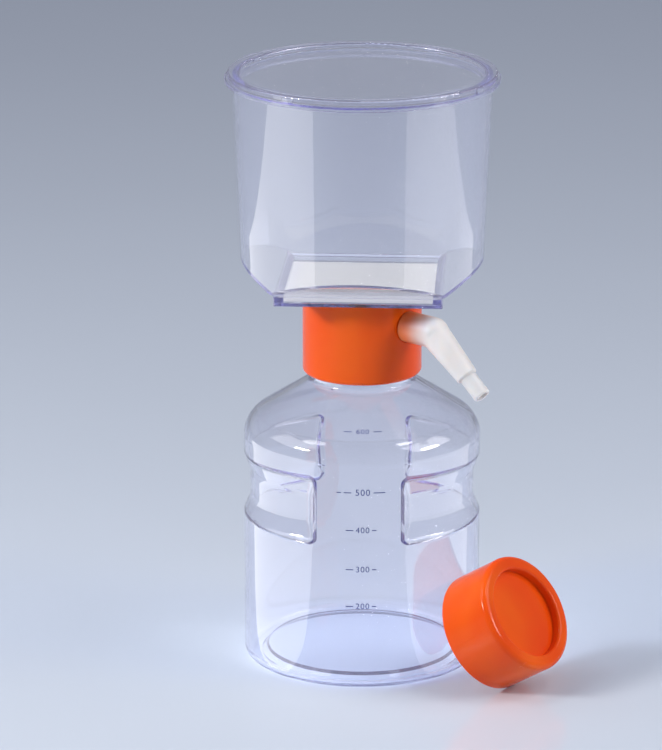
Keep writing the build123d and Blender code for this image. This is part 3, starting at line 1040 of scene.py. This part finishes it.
# ---------------------------------------------------------------- studio
@dataclass
class SoftLamp:
    """One soft lamp in degrees and metres, its bearing told from the camera's side."""

    name: str
    bearing: float
    elevation: float
    distance: float
    width: float
    height: float
    power: float
    face: LampFace = LampFace.BOX
    colour: tuple[float, float, float] = (1.0, 0.975, 0.945)

    def place(self, target: Vector) -> None:
        """Hang the lamp facing a point.

        Args:
            target: The point that the lamp faces.
        """
        bearing, elevation = radians(self.bearing), radians(self.elevation)
        level = Vector((sin(bearing), -cos(bearing), 0)) * cos(elevation)
        towards = level + Vector((0, 0, sin(elevation)))
        light = bpy.data.lights.new(self.name, "AREA")
        light.shape = self.face.value
        light.size, light.size_y = self.width, self.height
        light.energy = self.power
        light.color = self.colour
        lamp = bpy.data.objects.new(self.name, light)
        lamp.location = target + towards * self.distance
        lamp.rotation_euler = towards.to_track_quat("Z", "Y").to_euler()
        lamp.visible_camera = False
        bpy.context.scene.collection.objects.link(lamp)


@dataclass
class VeilCard:
    """A glowing card that lies beside the unit and shows only as a reflection in its clear walls.

    Its bearing is in degrees from the camera's side, and its sizes are in metres.
    """

    name: str
    bearing: float
    side: Side
    power: float
    start: float = 0.05
    reach: float = 0.9
    depth: float = 0.6
    lift: float = 0.001
    colour: tuple[float, float, float] = (1.0, 0.98, 0.93)

    def lay(self, walls: bpy.types.Collection) -> None:
        """Lay the card face up, with its inner edge along its bearing from the unit's axis.

        Args:
            walls: The clear pieces that mirror the card.
        """
        bearing = radians(self.bearing)
        along = Vector((sin(bearing), -cos(bearing), 0))
        aside = Vector((cos(bearing), sin(bearing), 0)) * self.side.value
        light = bpy.data.lights.new(self.name, "AREA")
        light.shape = LampFace.BOX.value
        light.size, light.size_y = self.reach, self.depth
        light.energy = self.power
        light.color = self.colour
        card = bpy.data.objects.new(self.name, light)
        middle = along * (self.start + self.reach / 2) + aside * self.depth / 2
        middle.z = self.lift
        down = Vector((0, 0, -1))
        axes = Matrix((along, down.cross(along), down)).transposed().to_4x4()
        card.matrix_world = Matrix.Translation(middle) @ axes
        card.visible_camera = card.visible_diffuse = card.visible_transmission = False
        card.light_linking.receiver_collection = walls
        bpy.context.scene.collection.objects.link(card)


@dataclass
class Studio:
    """The plain pale floor, the soft light and the camera, in metres and degrees."""

    floor_radius: float = 9.0
    floor_segments: int = 96
    floor_drop: float = 0.00005
    floor_colour: Colour = (0.62, 0.69, 0.78, 1.0)
    floor_lighter: float = 1.02
    floor_mottle_size: float = 3.0
    floor_roughness: float = 0.15
    room_pale: Colour = (0.74, 0.80, 0.90, 1.0)
    room_dim: Colour = (0.39, 0.41, 0.59, 1.0)
    room_level: float = 0.42
    pale_height: float = 0.12
    dim_height: float = 0.6
    camera_place: tuple[float, float, float] = (-0.01222, -1.8074, 0.6545)
    camera_pitch: float = 16.64
    camera_lens: float = 230.4
    camera_sensor: float = 36.0
    camera_reach: float = 100.0
    light_bounces: int = 24
    clear_layers: int = 32
    sparkle_limit: float = 2.5
    lamp_target: tuple[float, float, float] = (0.0, 0.0, 0.12)
    lamps: tuple[SoftLamp, ...] = (
        SoftLamp("left_key", -65.0, 28.0, 1.2, 0.30, 0.10, 9.2),
        SoftLamp("right_key", 74.0, 26.0, 1.3, 0.45, 0.18, 4.6),
        SoftLamp("left_panel", -86.0, 38.0, 1.5, 1.2, 0.75, 4.0),
        SoftLamp("right_panel", 80.0, 38.0, 1.5, 1.2, 0.75, 6.5),
        SoftLamp("left_spark", -78.0, 58.0, 1.2, 0.40, 0.34, 1.6, LampFace.OVAL),
        SoftLamp("right_spark", 70.0, 60.0, 1.2, 0.34, 0.22, 1.4, LampFace.OVAL),
    )
    cards: tuple[VeilCard, ...] = (
        VeilCard("left_card", -44.0, Side.LEFT, 3.4),
        VeilCard("right_card", 38.0, Side.RIGHT, 2.2),
    )
    mirror_nodes: tuple[str, ...] = ("bottle", "funnel", "lid", "support_plate")

    def build(self) -> None:
        """Make the floor, the room's light, the lamps, the cards and the camera."""
        self._floor()
        self._room()
        for lamp in self.lamps:
            lamp.place(Vector(self.lamp_target))
        walls = bpy.data.collections.new("mirror_walls")
        for node in self.mirror_nodes:
            walls.objects.link(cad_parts[node])
        for card in self.cards:
            card.lay(walls)
        self._camera()
        scene = bpy.context.scene
        scene.view_settings.view_transform = "Standard"
        scene.cycles.max_bounces = self.light_bounces
        scene.cycles.glossy_bounces = self.light_bounces
        scene.cycles.transmission_bounces = self.light_bounces
        scene.cycles.transparent_max_bounces = self.clear_layers
        scene.cycles.sample_clamp_indirect = self.sparkle_limit

    def _floor(self) -> None:
        """Lay the round floor just under the unit."""
        shape = bmesh.new()
        bmesh.ops.create_circle(
            shape, cap_ends=True, segments=self.floor_segments, radius=self.floor_radius
        )
        bmesh.ops.translate(shape, verts=shape.verts, vec=(0, 0, -self.floor_drop))
        mesh = bpy.data.meshes.new("studio_floor")
        shape.to_mesh(mesh)
        shape.free()
        material, sheet, shader, _ = new_material("pale_floor")
        mottle = effect(sheet, EFFECTS.grain, Size=self.floor_mottle_size)
        pale = tuple(part * self.floor_lighter for part in self.floor_colour[:3]) + (1.0,)
        sheet.feed(
            shader,
            Base_Color=sheet.ramp(mottle, {0.3: self.floor_colour, 0.7: pale}),
            Roughness=self.floor_roughness,
        )
        mesh.materials.append(material)
        floor = bpy.data.objects.new("studio_floor", mesh)
        bpy.context.scene.collection.objects.link(floor)

    def _room(self) -> None:
        """Light the scene from a room that is pale at the horizon and dimmer above."""
        world = bpy.data.worlds.new("studio_room")
        bpy.context.scene.world = world
        world.use_nodes = True
        world.node_tree.nodes.clear()
        sheet = NodeSheet(world.node_tree)
        direction = sheet.add("TexCoord").outputs["Generated"]
        split = sheet.feed(sheet.add("SeparateXYZ"), Vector=direction)
        colour = sheet.ramp(
            split.outputs["Z"],
            {0.0: self.room_pale, self.pale_height: self.room_pale, self.dim_height: self.room_dim},
        )
        background = sheet.feed(sheet.add("Background"), Color=colour, Strength=self.room_level)
        sheet.feed(sheet.add("OutputWorld"), Surface=background.outputs[0])

    def _camera(self) -> None:
        """Set up the long-lens camera that looks slightly down at the unit."""
        lens = bpy.data.cameras.new("studio_camera")
        lens.lens = self.camera_lens
        lens.sensor_width = self.camera_sensor
        lens.clip_end = self.camera_reach
        camera = bpy.data.objects.new("studio_camera", lens)
        camera.location = self.camera_place
        camera.rotation_euler = (radians(90.0 - self.camera_pitch), 0.0, 0.0)
        bpy.context.scene.collection.objects.link(camera)
        bpy.context.scene.camera = camera


def corners(box: tuple[Vector, Vector]) -> list[list[float]]:
    """A box's two corners as plain lists."""
    return [list(corner) for corner in box]


def main() -> None:
    """Build the studio and dress every sub-assembly."""
    logging.basicConfig(level=logging.INFO, format="%(name)s: %(message)s")
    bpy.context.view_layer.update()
    Studio().build()
    finishes = Finishes()
    for assembly in (Receiver(finishes), FilterHead(finishes), Fittings(finishes)):
        assembly.dress()
        log.info("%s built", type(assembly).__name__)


if __name__ == "__main__":
    main()
